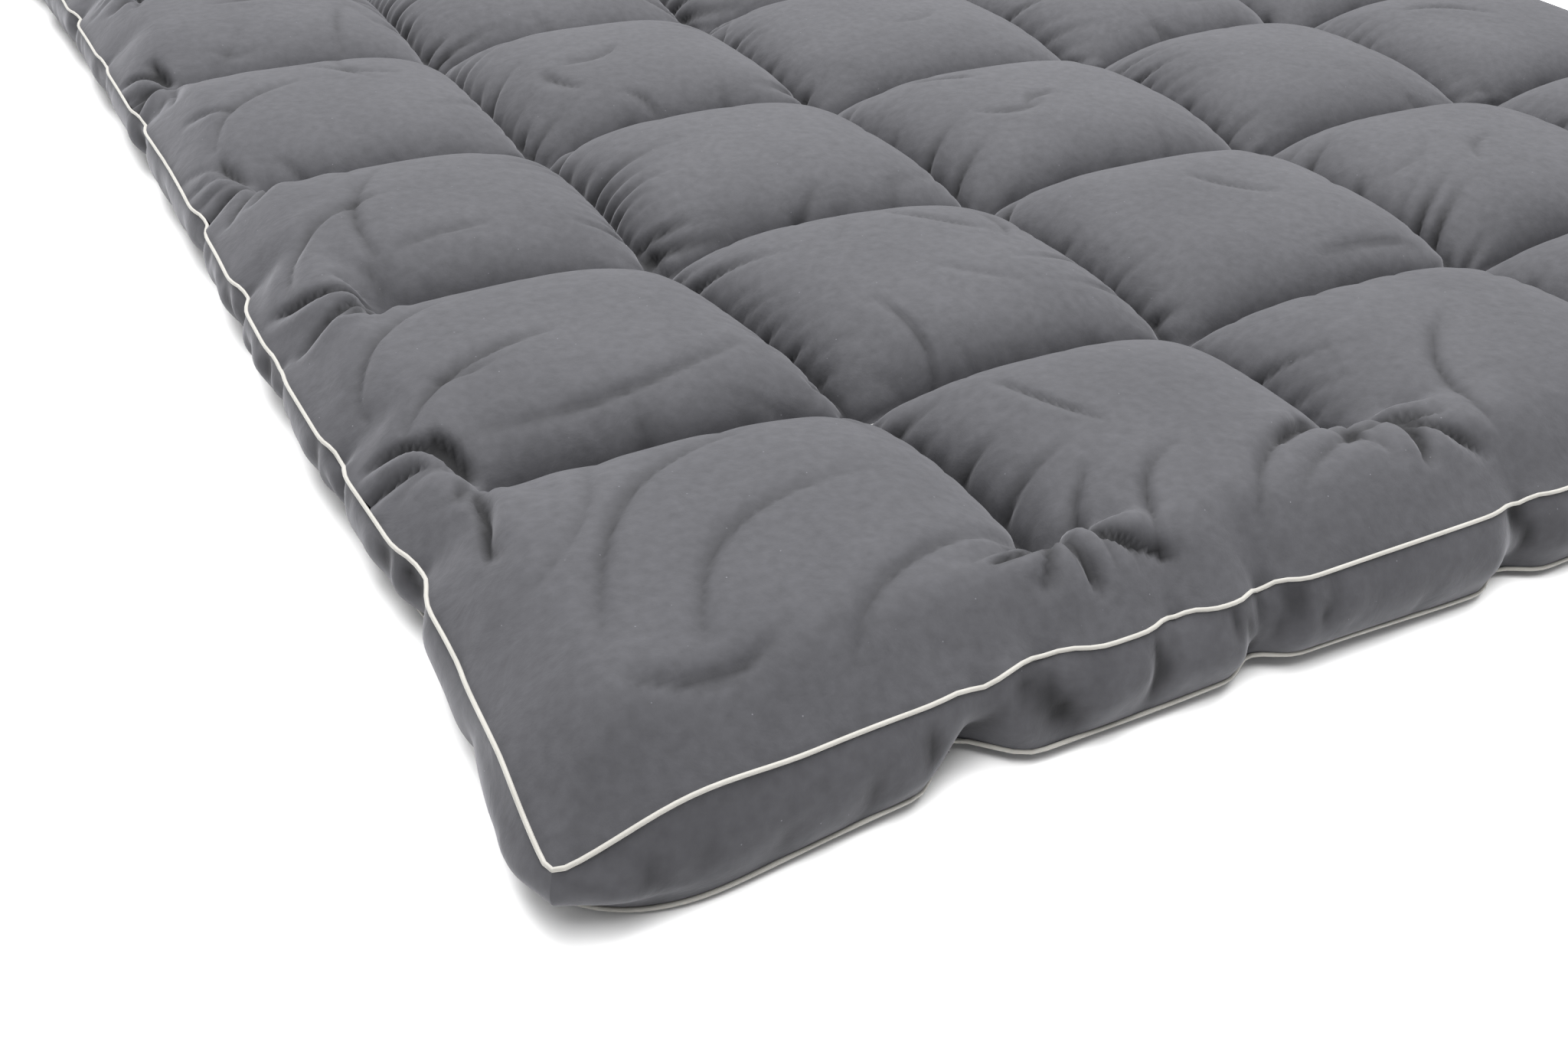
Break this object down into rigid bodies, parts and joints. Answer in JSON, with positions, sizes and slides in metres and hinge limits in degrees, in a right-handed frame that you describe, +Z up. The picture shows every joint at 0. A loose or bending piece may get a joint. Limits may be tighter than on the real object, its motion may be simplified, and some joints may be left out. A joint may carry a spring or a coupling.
{
  "type": "futon mattress",
  "caption": "Box-edge quilted mattress topper with puffed pockets, piped side seams, inner cloth walls, loose fill and an elastic strap at each corner.",
  "frame": {"origin": "middle of the underside, on the plane that it lies on", "axes": "+X across the mattress to its right, +Y along its length to its back, +Z up"},
  "size_m": [1.409, 2.009, 0.09],
  "materials": {
    "cover": "brushed microfibre, soft sheen",
    "piping": "plain cotton bias tape",
    "piping_cord": "twisted cotton",
    "baffle": "thin non-woven cloth",
    "fill": "loose down-like fibre",
    "strap": "ruffled casing over elastic"
  },
  "bodies": {
    "mattress": {"top_panel": "cover", "bottom_panel": "cover", "gusset_front": "cover", "gusset_right": "cover", "gusset_back": "cover", "gusset_left": "cover", "piping_top_tape": "piping", "piping_top_cord": "piping_cord", "piping_bottom_tape": "piping", "piping_bottom_cord": "piping_cord", "lengthwise_baffle_1": "baffle", "lengthwise_baffle_2": "baffle", "lengthwise_baffle_3": "baffle", "lengthwise_baffle_4": "baffle", "crosswise_baffles": "baffle", "fill_1_1": "fill", "fill_1_2": "fill", "fill_1_3": "fill", "fill_1_4": "fill", "fill_1_5": "fill", "fill_2_1": "fill", "fill_2_2": "fill", "fill_2_3": "fill", "fill_2_4": "fill", "fill_2_5": "fill", "fill_3_1": "fill", "fill_3_2": "fill", "fill_3_3": "fill", "fill_3_4": "fill", "fill_3_5": "fill", "fill_4_1": "fill", "fill_4_2": "fill", "fill_4_3": "fill", "fill_4_4": "fill", "fill_4_5": "fill", "fill_5_1": "fill", "fill_5_2": "fill", "fill_5_3": "fill", "fill_5_4": "fill", "fill_5_5": "fill", "fill_6_1": "fill", "fill_6_2": "fill", "fill_6_3": "fill", "fill_6_4": "fill", "fill_6_5": "fill", "fill_7_1": "fill", "fill_7_2": "fill", "fill_7_3": "fill", "fill_7_4": "fill", "fill_7_5": "fill", "fill_8_1": "fill", "fill_8_2": "fill", "fill_8_3": "fill", "fill_8_4": "fill", "fill_8_5": "fill"},
    "strap_front_left": {"strap_front_left": "strap"},
    "strap_front_right": {"strap_front_right": "strap"},
    "strap_back_left": {"strap_back_left": "strap"},
    "strap_back_right": {"strap_back_right": "strap"}
  },
  "joints": [
    {"name": "strap_front_left_swing", "type": "hinge", "parent": "mattress", "child": "strap_front_left", "pos_m": [-0.615, -0.915, 0.00105], "axis": [-0.7071, 0.7071, 0], "range_deg": [0, 90]},
    {"name": "strap_front_right_swing", "type": "hinge", "parent": "mattress", "child": "strap_front_right", "pos_m": [0.615, -0.915, 0.00105], "axis": [-0.7071, -0.7071, 0], "range_deg": [0, 90]},
    {"name": "strap_back_left_swing", "type": "hinge", "parent": "mattress", "child": "strap_back_left", "pos_m": [-0.615, 0.915, 0.00105], "axis": [0.7071, 0.7071, 0], "range_deg": [0, 90]},
    {"name": "strap_back_right_swing", "type": "hinge", "parent": "mattress", "child": "strap_back_right", "pos_m": [0.615, 0.915, 0.00105], "axis": [0.7071, -0.7071, 0], "range_deg": [0, 90]}
  ]
}
